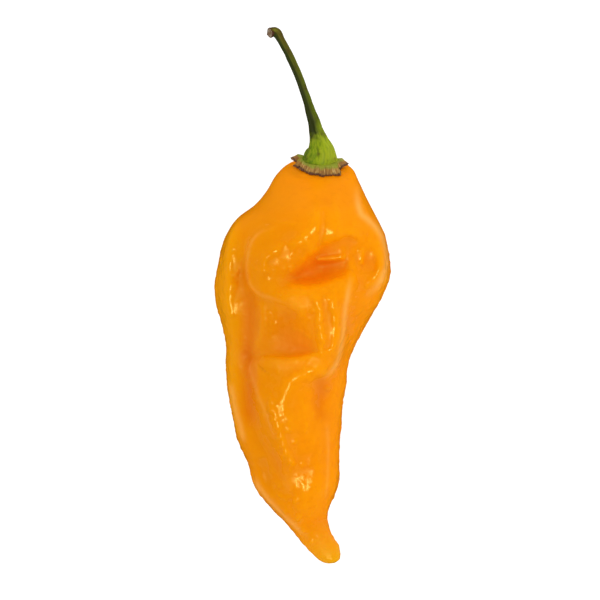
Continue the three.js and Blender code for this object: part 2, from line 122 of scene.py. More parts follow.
# The relief, by the face that it lies on. Top and underside are drawn in x and y, the two flanks
# in y and z. Swellings: middle, half width, half length, turn in degrees, height, with a negative
# height for a hollow. Creases: height, negative for a groove, half width, and the line. Folds:
# rise from the low side to the high side, half width of the wall between them, reach, and the
# line with its high side on the left.
RELIEF = {
    "top": {
        "swellings": [
            # Foot of the smooth dome below the calyx, and the dent under it
            (2.8, 14.0, 5.4, 3.2, 0, 1.5),
            (2.4, 4.7, 5.2, 2.4, 12, -2.7),
            (3.1, 8.4, 1.6, 2.4, 0, -0.6),
            (-0.6, 3.2, 3.4, 1.1, 8, -0.7),
            (11.2, 6.6, 2.6, 1.8, -20, -0.8),
            # Lobe at the upper left, and the outer lobes on either side
            (-6.6, 6.4, 2.8, 4.6, 0, 1.0),
            (-12.6, 11.0, 2.4, 5.0, 0, 1.0),
            (14.6, 5.6, 2.0, 5.5, 0, 2.6),
            # Middle lobe, and the hollow at its left
            (7.0, 0.6, 7.0, 3.0, 0, 0.6),
            (3.0, -2.6, 5.0, 2.2, 0, 0.3),
            (4.8, -8.2, 3.4, 4.2, 0, 2.2),
            (-3.2, -7.4, 4.8, 3.8, 4, -1.6),
            # Lower lobe, and the small dimple on its right
            (-2.0, -21.0, 4.8, 8.0, -8, 1.0),
            (3.0, -18.0, 1.2, 3.0, 0, -0.7),
            # Flat that holds the broad highlight
            (0.7, -30.9, 2.1, 3.2, 0, -0.6),
            (0.9, -36.0, 3.4, 4.5, 0, 1.0),
            (4.6, -32.5, 3.4, 5.0, 0, 0.9),
        ],
        "creases": [
            # Main crease down the left side
            (-1.5, 2.0, [(-10.4, 8.0), (-9.9, 4.0), (-9.7, 1.0), (-9.2, -3.0), (-9.1, -7.0),
                         (-9.2, -11.0), (-9.7, -15.0)]),
            (-1.1, 2.0, [(-9.4, -6.0), (-9.9, -13.0), (-9.8, -18.5), (-8.7, -22.1), (-7.3, -25.7),
                         (-6.4, -29.5), (-5.4, -33.0), (-4.2, -36.0)]),
            (-0.6, 1.0, [(-6.6, -20.5), (-5.3, -25.0), (-4.5, -28.5), (-3.7, -32.5), (-2.4, -36.5),
                         (-0.4, -39.5)]),
            # Crest of the outer left lobe
            (1.4, 1.1, [(-12.2, 17.0), (-13.2, 11.0), (-13.3, 6.0), (-13.2, 2.5), (-13.4, -1.0),
                        (-12.9, -8.0)]),
            # Left lip of the hollow
            (0.6, 0.8, [(-8.3, -0.2), (-7.2, -2.3), (-7.4, -5.6), (-8.1, -8.6), (-8.8, -11.3)]),
            # Two long ridges that curve down the lower lobe
            (0.9, 1.7, [(6.0, -11.4), (4.4, -12.3), (2.9, -12.9), (0.7, -13.8), (-1.1, -14.8),
                        (-2.5, -16.2), (-3.6, -18.0), (-3.8, -19.8), (-3.2, -21.8), (-2.5, -23.6),
                        (-1.8, -25.7)]),
            (0.9, 0.9, [(-5.9, -15.8), (-5.7, -18.5), (-5.2, -20.6), (-4.5, -23.0), (-3.1, -26.6),
                        (-2.1, -29.5), (-1.4, -31.6)]),
            # Two upright ridges on the middle lobe
            (0.8, 0.9, [(1.9, 0.8), (3.0, -2.2), (3.1, -5.3), (3.4, -7.8), (3.3, -11.2)]),
            (0.8, 0.9, [(5.0, 0.9), (5.8, -2.2), (6.2, -5.3), (6.0, -8.2), (4.8, -11.0)]),
            # Seam down the lower right
            (-0.6, 1.4, [(5.0, -14.6), (4.7, -18.0), (4.9, -22.1), (4.7, -26.6), (4.5, -31.1),
                         (4.1, -35.6)]),
            # Groove on the dome's left, its two soft ribs, and the crest of the right shoulder
            (-0.5, 2.4, [(-1.8, 21.4), (-2.6, 17.5), (-3.2, 13.0)]),
            (0.45, 1.4, [(2.6, 18.0), (2.6, 14.6), (2.2, 12.4), (1.0, 10.9), (-0.6, 9.7),
                         (-1.8, 8.8), (-2.6, 7.8)]),
            (0.4, 1.2, [(6.0, 19.5), (6.2, 16.0), (6.0, 12.2), (5.6, 9.4)]),
            (-0.3, 0.6, [(3.7, 16.0), (3.5, 12.0), (3.0, 8.2)]),
            (0.4, 1.2, [(9.9, 20.3), (10.3, 17.5), (10.8, 14.8), (12.4, 12.8), (14.2, 10.3)]),
            # Groove at the lower left
            (-0.5, 1.0, [(-7.6, -28.4), (-6.6, -31.1), (-5.2, -34.0), (-3.4, -37.0)]),
            # Two short ridges on the right lobe
            (0.35, 0.6, [(13.9, 7.6), (13.7, 5.3), (13.1, 3.5), (11.9, 2.3), (10.8, 1.6)]),
            (0.45, 0.5, [(10.4, 8.8), (10.7, 7.2), (10.6, 5.6)]),
            # Ledge inside the dent, and the curl inside the upper left lobe
            (0.8, 0.5, [(2.2, 6.6), (5.0, 6.8), (8.0, 7.2)]),
            (0.6, 0.8, [(-2.6, 9.8), (-5.0, 8.2), (-6.5, 7.0), (-7.0, 5.4), (-6.7, 3.6)]),
        ],
        "folds": [
            # Edge of the upper left lobe
            (0.9, 0.5, 3.4, [(-3.2, 12.8), (-5.8, 12.4), (-7.9, 11.7), (-9.2, 9.7), (-9.7, 7.0),
                             (-9.7, 4.5), (-9.2, 1.8)]),
            (1.7, 0.8, 3.4, [(-9.8, 6.5), (-9.7, 4.5), (-9.2, 1.8), (-7.2, 0.2), (-4.7, -0.9),
                             (-1.8, -2.2), (0.7, -4.1)]),
            # Left and upper edge of the lower lobe
            (1.3, 0.5, 2.3, [(6.2, -8.8), (4.0, -9.4), (0.5, -10.2), (-3.1, -10.7),
                             (-6.6, -10.6), (-8.4, -11.2), (-9.2, -13.0)]),
            (1.6, 0.7, 2.4, [(-7.0, -10.6), (-8.6, -11.3), (-9.2, -13.0), (-8.8, -15.8),
                             (-7.9, -19.4), (-6.5, -23.9), (-4.7, -27.2), (-3.2, -29.7),
                             (-1.8, -32.6)]),
            # The S-shaped step down the right side
            (1.6, 0.8, 3.6, [(1.1, -16.7), (3.2, -14.9), (5.8, -12.4), (7.2, -9.9), (7.9, -6.8),
                             (7.9, -3.8), (8.6, -0.2), (9.5, 3.1), (9.0, 5.6)]),
            # Foot of the dome, over the dent
            (1.6, 0.6, 5.0, [(0.4, 6.6), (2.4, 7.8), (4.2, 9.4), (6.4, 10.4), (8.6, 10.6),
                             (11.0, 9.6)]),
            # Floor's far edge, where the dent meets the middle lobe
            (1.1, 0.6, 6.0, [(9.2, 5.2), (7.2, 4.2), (4.4, 3.1), (1.6, 2.2),
                             (-0.8, 2.4), (-2.4, 3.4)]),
        ],
    },
    "underside": {
        "swellings": [
            # Dents on either side of the belly, and a shallow one nearer the tip
            (6.5, 12.5, 4.5, 3.4, 15, -2.2),
            (-7.5, 10.5, 3.0, 5.0, 10, -1.4),
            (2.0, -17.0, 3.0, 5.5, 5, -1.0),
            # Low lobe on the left
            (-8.0, -14.0, 2.4, 6.0, 0, 1.0),
        ],
        "creases": [
            # Long creases between the pod's lobes
            (-1.5, 1.5, [(0.5, 18.5), (-1.5, 13.5), (-4.5, 8.0), (-7.5, 2.0), (-7.5, -5.0),
                         (-5.5, -12.0), (-4.5, -20.0), (-3.5, -28.0)]),
            (-1.2, 1.4, [(9.0, 6.0), (8.0, 0.0), (6.0, -8.0), (4.5, -14.0), (3.5, -24.0),
                         (3.0, -32.0)]),
        ],
        "folds": [],
    },
    "left": {
        "swellings": [(6.0, 6.5, 5.0, 2.4, 0, -0.6)],
        "creases": [
            (-0.8, 1.2, [(12.0, 7.5), (6.0, 6.0), (-2.0, 6.5), (-10.0, 6.0), (-18.0, 6.5),
                         (-28.0, 5.5)]),
        ],
        "folds": [],
    },
    "right": {
        "swellings": [(-6.0, 7.0, 6.0, 2.4, 0, -0.6)],
        "creases": [
            (-0.8, 1.2, [(15.0, 7.5), (8.0, 6.5), (0.0, 7.0), (-8.0, 6.0), (-17.0, 6.5),
                         (-27.0, 5.5)]),
        ],
        "folds": [],
    },
}

# Painted highlights, pale lines along the lobes' edges and crests: strength, half width, and the
# line
PAINTED_EDGE_HIGHLIGHTS = [
    (0.9, 0.4, [(8.7, 3.9), (8.2, 1.2), (7.7, -2.3), (7.4, -5.9), (7.0, -8.5), (6.4, -11.2),
                (5.1, -13.3), (3.2, -14.7)]),
    (1.0, 0.55, [(9.8, 21.0), (9.8, 18.5), (10.0, 16.5), (10.5, 14.8), (11.7, 13.8), (13.4, 12.2),
                 (14.5, 10.5), (15.1, 8.3), (15.1, 6.2), (14.5, 4.1), (13.7, 2.6), (12.3, 0.9),
                 (10.6, -0.5)]),
    (0.35, 0.3, [(-5.7, 12.1), (-7.8, 11.2), (-9.2, 9.2), (-9.7, 6.2), (-9.7, 3.9), (-9.0, 1.9),
                 (-7.5, 0.5), (-4.8, -0.5), (-2.1, -1.4)]),
    (0.25, 0.3, [(-8.2, -10.8), (-9.2, -12.2), (-8.9, -14.0), (-8.3, -16.1), (-7.1, -19.2),
                 (-5.7, -22.7), (-4.1, -26.3)]),
    (0.3, 0.3, [(4.3, -22.0), (4.7, -27.0), (4.6, -32.0), (4.2, -37.0)]),
    (0.6, 0.5, [(-12.9, -15.0), (-12.2, -19.0), (-11.2, -23.0), (-10.2, -26.5)]),
    (0.7, 0.45, [(-8.6, -32.0), (-7.7, -34.2), (-5.9, -36.6), (-3.4, -39.2), (-1.2, -41.3),
                 (1.0, -43.4)]),
]

# Painted shade, deeper and redder: down the main crease, in the hollow beside the middle
# lobe, and in the dimple of the lower lobe
PAINTED_CREASE_SHADE = [
    (0.8, 1.3, [(-9.2, 2.0), (-9.3, -3.0), (-9.6, -9.4), (-9.2, -14.7), (-9.4, -20.1),
                (-8.4, -24.0)]),
    (0.45, 2.8, [(-2.8, -2.0), (-2.9, -5.0), (-3.0, -8.0), (-3.0, -10.6)]),
    (0.6, 1.2, [(3.6, -13.5), (3.2, -16.5), (3.0, -19.5), (3.6, -23.0)]),
]

# Patches where the skin is rougher with small pimples: middle and radius
BUMPY = [(-10.9, 8.4, 2.6), (-2.6, -35.6, 2.2), (-0.8, -39.2, 1.8), (1.6, -42.6, 1.6)]

# The smoother flat on the lower lobe that holds the broad highlight: middle, half width and half
# length
SMOOTH = (1.2, -30.6, 1.8, 2.8)

# Where the wax is thin and the skin looks duller: middle, half width and half length
DULL = [(-0.6, -1.0, 1.8, 1.0), (-2.4, -33.2, 0.8, 1.2), (-2.9, -11.9, 2.6, 0.8),
        (-4.6, -8.6, 1.2, 1.2), (4.6, -44.8, 2.2, 2.2), (-9.6, -2.2, 1.2, 1.2),
        (-8.8, -8.0, 1.5, 6.0), (-11.2, -10.9, 0.8, 1.2), (2.4, -11.6, 0.9, 0.6)]

# Single beads that stand on the crests and lobes: middle, radius and height
BEADS = [
    # Lower edge of the dome
    (-1.0, 9.7, 1.0, 0.4), (0.3, 10.9, 0.9, 0.2),
    # Upper left lobe and its curl
    (-4.2, 8.0, 0.6, 0.19), (-5.5, 7.0, 0.7, 0.12), (-6.7, 6.2, 0.6, 0.22),
    (-6.2, 4.4, 0.6, 0.26), (-1.9, 7.5, 0.45, 0.12), (-2.9, 5.1, 0.45, 0.16),
    (-1.7, 5.0, 0.45, 0.2), (-4.4, 0.6, 0.5, 0.26),
    # Right lobe
    (14.1, 5.5, 0.6, 0.26), (12.0, 2.9, 0.5, 0.16), (10.6, 7.1, 0.45, 0.08),
    # Outer left lobe
    (-12.3, 8.8, 0.5, 0.23), (-12.4, 7.6, 0.5, 0.14), (-11.3, 4.9, 0.55, 0.32),
    (-11.9, 4.0, 0.55, 0.34), (-12.1, 2.1, 0.6, 0.28), (-12.4, 0.3, 0.5, 0.13),
    (-12.4, -3.1, 0.5, 0.2),
    # Two upright ridges on the middle lobe
    (1.8, -2.4, 0.5, 0.34), (3.3, -4.0, 0.5, 0.12), (3.3, -5.7, 0.5, 0.1), (3.8, -7.6, 0.6, 0.2),
    (3.2, -9.0, 0.5, 0.24), (4.8, -2.1, 0.5, 0.28), (5.5, -4.4, 0.5, 0.14), (5.3, -9.2, 0.5, 0.12),
    # Arc at the top of the lower lobe, and the two rows that run down from it
    (2.3, -13.5, 0.6, 0.22), (-0.3, -13.9, 0.6, 0.1), (-1.4, -14.1, 0.8, 0.2),
    (-2.9, -15.1, 0.8, 0.28), (-3.2, -16.6, 0.6, 0.16), (-4.1, -18.7, 0.5, 0.12),
    (4.4, -16.2, 0.5, 0.34), (-5.4, -18.3, 0.55, 0.26), (-5.6, -20.1, 0.6, 0.34),
    (-5.1, -21.9, 0.55, 0.38), (-4.5, -23.2, 0.6, 0.28), (-4.0, -25.0, 0.55, 0.27),
    (-3.6, -26.4, 0.55, 0.34), (-3.1, -28.0, 0.55, 0.36), (-1.9, -29.5, 0.55, 0.36),
    (-3.4, -20.9, 0.5, 0.12), (-2.4, -23.7, 0.6, 0.38), (-1.3, -25.8, 0.55, 0.28),
    # Broad highlight
    (0.1, -29.9, 0.7, 0.34), (1.4, -29.8, 0.7, 0.21), (2.4, -30.4, 0.7, 0.11),
    # Lower left edge, down to the tip
    (-3.9, -34.1, 0.5, 0.38), (-4.0, -35.5, 0.5, 0.38), (-2.8, -36.1, 0.55, 0.42),
    (-2.2, -37.2, 0.45, 0.34), (-1.1, -36.5, 0.5, 0.4), (-2.9, -38.5, 0.45, 0.34),
    (-0.7, -39.5, 0.5, 0.4), (0.2, -42.1, 0.55, 0.42), (1.7, -44.2, 0.5, 0.32),
]

# The calyx's teeth: bearing round the crown in degrees (0 right, 90 up, 180 left), how far each
# stands out past the rim, how far its point curls off the pod, and its half width in degrees.
CALYX_TEETH = [
    (356, 1.6, 0.6, 6),
    (14, 0.25, 0.1, 12),
    (50, 1.7, 0.05, 26),
    (84, 1.2, 0.0, 22),
    (114, 0.8, 0.05, 18),
    (150, 0.5, 0.3, 12),
    (176, 0.9, 0.2, 8),
    (196, 1.5, 1.0, 6),
    (276, 0.7, 0.3, 24),
]
# Waves of the torn rim: waves round the rim, depth, and phase in degrees
CALYX_TEARS = [
    (11, 0.08, 20),
    (17, 0.07, 75),
    (41, 0.07, 10),
    (67, 0.07, 200),
    (97, 0.05, 310),
]

# The stem's middle line above the flare (x, y, z) and its radius there
STEM_LINE = [
    (3.28, 26.4, 14.0, 2.42),
    (2.93, 28.2, 14.5, 1.66),
    (2.42, 30.0, 15.1, 1.24),
    (2.0, 31.8, 15.8, 1.08),
    (1.4, 33.5, 16.4, 0.88),
    (0.9, 35.2, 17.0, 0.78),
    (-0.4, 38.8, 17.8, 0.72),
    (-1.9, 42.3, 18.3, 0.72),
    (-2.9, 44.3, 18.4, 0.7),
    (-3.9, 46.1, 18.4, 0.74),
    (-4.8, 47.3, 18.2, 0.86),
    (-6.4, 47.0, 17.8, 0.86),
]


def ramp(value, low, high):
    """0 below low, 1 above high, and a smooth rise between them."""
    f = np.clip((value - low) / (high - low), 0, 1)
    return f * f * (3 - 2 * f)


def through(rows, t):
    """A smooth curve through rows of numbers, with t from 0 at the first row to 1 at the last."""
    rows = np.asarray(rows, float)
    last = len(rows) - 1
    place = np.clip(np.asarray(t, float), 0, 1) * last
    start = np.minimum(place.astype(int), last - 1)
    f = (place - start)[..., None]
    a, b, c, d = (rows[np.clip(start + k, 0, last)] for k in (-1, 0, 1, 2))
    return b + 0.5 * f * (c - a + f * (2 * a - 5 * b + 4 * c - d + f * (3 * (b - c) + d - a)))


def beside(line, x, y):
    """How far points lie off a drawn line, positive on its left, and how strong the line is at
    the place that they are nearest to: it dies away towards its two ends."""
    steps = (len(line) - 1) * LINE_STEPS
    path = through(line, np.linspace(0, 1, steps + 1))
    nearest = np.full(x.shape, np.inf)
    side = np.ones(x.shape)
    along = np.zeros(x.shape)
    for i in range(steps):
        (ax, ay), (dx, dy) = path[i], path[i + 1] - path[i]
        f = np.clip(((x - ax) * dx + (y - ay) * dy) / (dx * dx + dy * dy), 0, 1)
        ox, oy = x - ax - f * dx, y - ay - f * dy
        off = np.hypot(ox, oy)
        closer = off < nearest
        nearest = np.where(closer, off, nearest)
        side = np.where(closer, np.where(dx * oy - dy * ox < 0, -1.0, 1.0), side)
        along = np.where(closer, (i + f) / steps, along)
    return side * nearest, ramp(along, 0, LINE_FADE) * ramp(1 - along, 0, LINE_FADE)


def height(face, x, y):
    """How far a face's relief stands out at points of that face."""
    h = np.zeros(x.shape)
    for cx, cy, width, length, turn, rise in face["swellings"]:
        c, s = math.cos(math.radians(turn)), math.sin(math.radians(turn))
        across = ((x - cx) * c + (y - cy) * s) / width
        along = ((y - cy) * c - (x - cx) * s) / length
        h += rise * np.exp(-across ** 2 - along ** 2)
    for depth, width, line in face["creases"]:
        off, strength = beside(line, x, y)
        h += depth * strength * np.exp(-(off / width) ** 2)
    for rise, wall, reach, line in face["folds"]:
        off, strength = beside(line, x, y)
        h += rise * strength * 0.5 * np.tanh(off / wall) * np.exp(-(off / reach) ** 2)
    return h


def facing(toward):
    """A face's relief counts in full where the skin looks that way, not at all at right angles."""
    return ramp(toward, 0.05, 0.45)


def pod_point(t, bearing):
    """Points of the pod's skin: t from 0 at the crown to 1 at the tip, bearing from 0 on the right
    through a quarter turn on top."""
    t, bearing = np.broadcast_arrays(np.asarray(t, float), np.asarray(bearing, float))
    lx, ly, rx, ry, top, under, lean = np.moveaxis(through(POD_OUTLINE, t), -1, 0)
    side, up = np.cos(bearing), np.sin(bearing)
    above = (top - under) / 2 * up
    x = (lx + rx) / 2 + (rx - lx) / 2 * side
    y = (ly + ry) / 2 + (ry - ly) / 2 * side - lean * above
    z = (top + under) / 2 + above
    left = facing(-side) * height(RELIEF["left"], y, z)
    right = facing(side) * height(RELIEF["right"], y, z)
    upper = facing(up) * height(RELIEF["top"], x, y)
    lower = facing(-up) * height(RELIEF["underside"], x, y)
    return np.stack([x + right - left, y, np.maximum(z + upper - lower, 0)], axis=-1)


def unit(vectors):
    return vectors / np.linalg.norm(vectors, axis=-1, keepdims=True)


def pod_normal(t, bearing):
    """The pod's outward direction at points of its skin."""
    step = 1e-3
    s = np.clip(t, step, 1 - step)
    down = pod_point(s + step, bearing) - pod_point(s - step, bearing)
    across = pod_point(s, bearing + step) - pod_point(s, bearing - step)
    return unit(np.cross(across, down))


CROWN = pod_point(0.0, 0.0)
CROWN_AXIS = unit(np.array([0, 1, POD_OUTLINE[0][6]]))


def ring_of(radius):
    """How far down the pod, in t, its ring has this radius. The crown is its first fifth."""
    t = np.linspace(0, 0.2, 400)
    rows = through(POD_OUTLINE, t)
    return np.interp(radius, (rows[:, 2] - rows[:, 0]) / 2, t)


def over_crown(radius, bearing, off):
    """Points over the crown: that far out from its middle, and that far off the pod's skin."""
    radius, bearing, off = np.broadcast_arrays(radius, bearing, off)
    t = ring_of(radius)
    return pod_point(t, bearing) + pod_normal(t, bearing) * off[..., None]


def lattice(points, seed):
    """Random numbers from -1 to 1 that hang on whole-numbered places in space. The large odd
    numbers only scramble the place and the seed."""
    x, y, z = (points[..., k].astype(np.int64) for k in range(3))
    n = (x * 73856093) ^ (y * 19349663) ^ (z * 83492791) ^ (seed * 2654435761)
    n = (n ^ (n >> 13)) * 1274126177 & 0x7FFFFFFF
    n = (n ^ (n >> 15)) * 668265263 & 0x7FFFFFFF
    return (n & 0xFFFF) / 32767.5 - 1


def cloud(points, unevenness, share=1.0):
    """Smooth random hills and dips in millimetres. The share is how much of them counts."""
    rise, apart, seed = unevenness
    place = points / apart
    cell = np.floor(place)
    f = place - cell
    f = f * f * (3 - 2 * f)
    total = np.zeros(points.shape[:-1])
    for i in (0, 1):
        for j in (0, 1):
            for k in (0, 1):
                corner = np.array([i, j, k])
                total += np.abs(1 - corner - f).prod(axis=-1) * lattice(cell + corner, seed)
    return rise * share * total


def pimples(points, unevenness, share=1.0):
    """Scattered low round bumps in millimetres. The share is how much of them counts."""
    rise, apart, seed = unevenness
    place = points / apart
    cell = np.floor(place)
    total = np.zeros(points.shape[:-1])
    for i in (-1, 0, 1):
        for j in (-1, 0, 1):
            for k in (-1, 0, 1):
                there = cell + np.array([i, j, k])
                middle = there + 0.5 + 0.42 * np.stack(
                    [lattice(there, seed + n) for n in range(3)], axis=-1)
                size = 0.34 + 0.12 * lattice(there, seed + 3)
                off = ((place - middle) ** 2).sum(axis=-1) / size ** 2
                total += (0.65 + 0.35 * lattice(there, seed + 4)) * np.exp(-off)
    return rise * share * total


def around(patch, points):
    """1 in the middle of a patch, seen from above, and nothing well outside it. A patch is its
    middle, half width and half length."""
    x, y, width, length = patch
    return np.exp(-((points[..., 0] - x) / width) ** 2 - ((points[..., 1] - y) / length) ** 2)


def normals_of(grid):
    """Outward directions on a grid of rings that closes on itself round its second axis."""
    down = np.gradient(grid, axis=0)
    across = np.roll(grid, -1, axis=1) - np.roll(grid, 1, axis=1)
    return unit(np.cross(across, down))


def spread(grid, levels):
    """A grid of rings smoothed over a distance that doubles with each level."""
    n = len(grid)
    for level in range(levels):
        step = 2 ** level
        ahead = grid[np.minimum(np.arange(n) + step, n - 1)]
        behind = grid[np.maximum(np.arange(n) - step, 0)]
        grid = (2 * grid + ahead + behind) / 4
        grid = (2 * grid + np.roll(grid, step, axis=1) + np.roll(grid, -step, axis=1)) / 4
    return grid


def make_piece(name, first, rings, last, body, node, attributes):
    """A closed piece from rings of points and a point at each end. Each attribute, which its
    material follows, has a value for the first point, for each point of the rings and for the
    last."""
    count, sides = rings.shape[:2]
    points = np.vstack([first[None], rings.reshape(-1, 3), last[None]]) * MM
    here = np.arange(sides)
    ahead = (here + 1) % sides
    faces = []
    for i in range(count - 1):
        a, b = 1 + i * sides, 1 + (i + 1) * sides
        faces.append(np.stack([a + here, a + ahead, b + ahead, b + here], axis=1))
    quads = np.concatenate(faces).tolist()
    end = len(points) - 1
    start_fan = np.stack([np.zeros(sides, int), 1 + ahead, 1 + here], axis=1).tolist()
    final = 1 + (count - 1) * sides
    end_fan = np.stack([np.full(sides, end), final + here, final + ahead], axis=1).tolist()
    mesh = bpy.data.meshes.new(name)
    mesh.from_pydata(points.tolist(), [], quads + start_fan + end_fan)
    mesh.polygons.foreach_set("use_smooth", np.ones(len(mesh.polygons), bool))
    for label, (at_first, values, at_last) in attributes.items():
        numbers = np.concatenate([np.ravel(at_first), values.ravel(), np.ravel(at_last)])
        if values.ndim == 2:
            mesh.attributes.new(label, "FLOAT", "POINT").data.foreach_set("value", numbers)
        else:
            mesh.attributes.new(label, "FLOAT_VECTOR", "POINT").data.foreach_set("vector", numbers)
    mesh.update()
    piece = bpy.data.objects.new(name, mesh)
    bpy.context.scene.collection.objects.link(piece)
    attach(piece, body)
    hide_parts(node)
    return piece


def make_pod():
    """The pod: the measured form and relief, then the fine unevenness of its waxy skin."""
    t = np.arange(1, POD_RINGS) / POD_RINGS
    bearing = np.arange(POD_SIDES) / POD_SIDES * 2 * np.pi
    grid = pod_point(t[:, None], bearing[None, :])
    normal = normals_of(spread(grid, 3))
    # The unevenness dies away at the crown and at the tip
    ends = ramp(t, 0.0, 0.12)[:, None] * ramp(1 - t, 0.0, 0.03)[:, None]
    # The dome below the calyx is smooth, and the lobes are pimpled
    on_lobes = ramp(-grid[..., 1], -DOME_ABOVE, -LOBES_BELOW)
    pimpled = DOME_SHARE + (1 - DOME_SHARE) * on_lobes
    pimpled = pimpled * (1 - FLAT_LOSS * around(SMOOTH, grid))
    fine = pimples(grid, LOBE_PIMPLES, pimpled)
    fine += pimples(grid, FINE_LOBE_PIMPLES, pimpled)
    upper = facing(normal[..., 2])
    small = pimples(grid, PATCH_PIMPLES)
    for x, y, radius in BUMPY:
        fine += small * upper * around((x, y, radius, radius), grid)
    for x, y, radius, rise in BEADS:
        fine += rise * upper * around((x, y, radius, radius), grid)
    fine += cloud(grid, POD_WAVES) + cloud(grid, LOBE_WAVES, pimpled)
    skin = grid + normal * (fine * ends)[..., None]
    # The flat spot that it lies on stays flat
    skin[..., 2] = np.maximum(skin[..., 2], 0)
    # Hollows, positive, and ridges, negative, as a distance from the smoothed skin
    broad = ((spread(grid, 5) - grid) * normal).sum(axis=-1)
    sharp = ((spread(skin, 3) - skin) * normal).sum(axis=-1)
    # Painted highlights along the edges, and painted shade down the creases, as strengths along
    # drawn lines
    pale, deep = np.zeros(broad.shape), np.zeros(broad.shape)
    seen = ramp(normal[..., 2], 0.0, 0.3)
    for lines, total in ((PAINTED_EDGE_HIGHLIGHTS, pale), (PAINTED_CREASE_SHADE, deep)):
        for strength, width, line in lines:
            off, along = beside(line, grid[..., 0], grid[..., 1])
            total += strength * along * np.exp(-(off / width) ** 2) * seen
    dull = sum(around(patch, grid) for patch in DULL)
    end = pod_point(1.0, 0.0)
    return make_piece("pod_skin_piece", CROWN, skin, end, "root", "pod", {
        "pale": (0.0, pale, 0.0),
        "deep": (0.0, deep, 0.0),
        "dull": (0.0, dull, 0.0),
        "hollow": (0.0, broad * ends, 0.0),
        "crease": (0.0, sharp * ends, 0.0),
        "tip": (0.0, t[:, None] * np.ones(POD_SIDES), 1.0),
    })


def calyx_rim(bearing):
    """How far the calyx reaches from the crown's middle, and how far its edge curls off the pod."""
    radius = np.full(bearing.shape, CALYX_RADIUS)
    curl = np.zeros(bearing.shape)
    for waves, depth, phase in CALYX_TEARS:
        radius += depth * np.sin(waves * bearing + math.radians(phase))
    for middle, length, lift, width in CALYX_TEETH:
        away = np.abs((np.degrees(bearing) - middle + 540) % 360 - 180)
        share = np.maximum(0, 1 - away / width)
        radius += length * share
        curl += lift * share
    return radius, curl


def make_calyx():
    """The dry calyx: a ragged collar with radial fibres and small curled teeth."""
    bearing = np.arange(CALYX_SIDES) / CALYX_SIDES * 2 * np.pi
    radius, curl = calyx_rim(bearing)
    shoulder = STEM_BASE_RADIUS / CALYX_RADIUS
    # Share of the way out to the rim, and thickness there as a share from rim to crown, or below
    # zero for the side that lies on the pod
    profile = [
        (0.3, 1), (0.6, 1), (shoulder, 1), (0.85, 0.84), (0.88, 0.66), (0.9, 0.5), (0.93, 0.32),
        (0.96, 0.18), (0.98, 0.08), (1.01, 0.02), (1.02, -0.02), (1.01, -0.5), (1.0, -1),
        (0.92, -1), (0.85, -1), (0.6, -1), (0.3, -1),
    ]
    profile = through(profile, np.linspace(0, 1, CALYX_RINGS))
    share, thick = profile[:, :1], profile[:, 1:]
    inner = np.where(share <= shoulder, share * CALYX_RADIUS, share * radius[None, :])
    span = CALYX_CROWN_THICKNESS - CALYX_RIM_THICKNESS
    thickness = np.where(thick >= 0, CALYX_RIM_THICKNESS + np.clip(thick, 0, 1) * span,
                         CALYX_RIM_THICKNESS * (1 + np.clip(thick, -1, 0)))
    lift = curl[None, :] * ramp(share, 0.6, 1)
    rings = over_crown(inner, bearing[None, :], CALYX_CLEARANCE + lift + thickness)
    # Place on the collar if it were a straight tube, along which its fibres run
    straight = CALYX_RADIUS * np.stack(
        [np.cos(bearing) + 0 * share, np.sin(bearing) + 0 * share, share + 0 * bearing], axis=-1)
    fine = cloud(straight * (1, 1, 0.4), CALYX_FIBRES) + cloud(rings, CALYX_CRUMPLE)
    # It stays smooth where the stem stands on it, and underneath
    open_air = ramp(share, shoulder * 1.02, 0.9) * (thick > 0)
    rings = rings + normals_of(rings) * (fine * open_air)[..., None]
    rim = ramp(share, shoulder, 1.0) * np.ones(inner.shape)
    first = CROWN + CROWN_AXIS * (CALYX_CLEARANCE + CALYX_CROWN_THICKNESS)
    last = CROWN + CROWN_AXIS * CALYX_CLEARANCE
    return make_piece("calyx_piece", first, rings, last, "root", "calyx", {
        "rim": (0.0, rim, 0.0),
        "straight": ((0, 0, 0), straight * MM, (0, 0, 0)),
    })


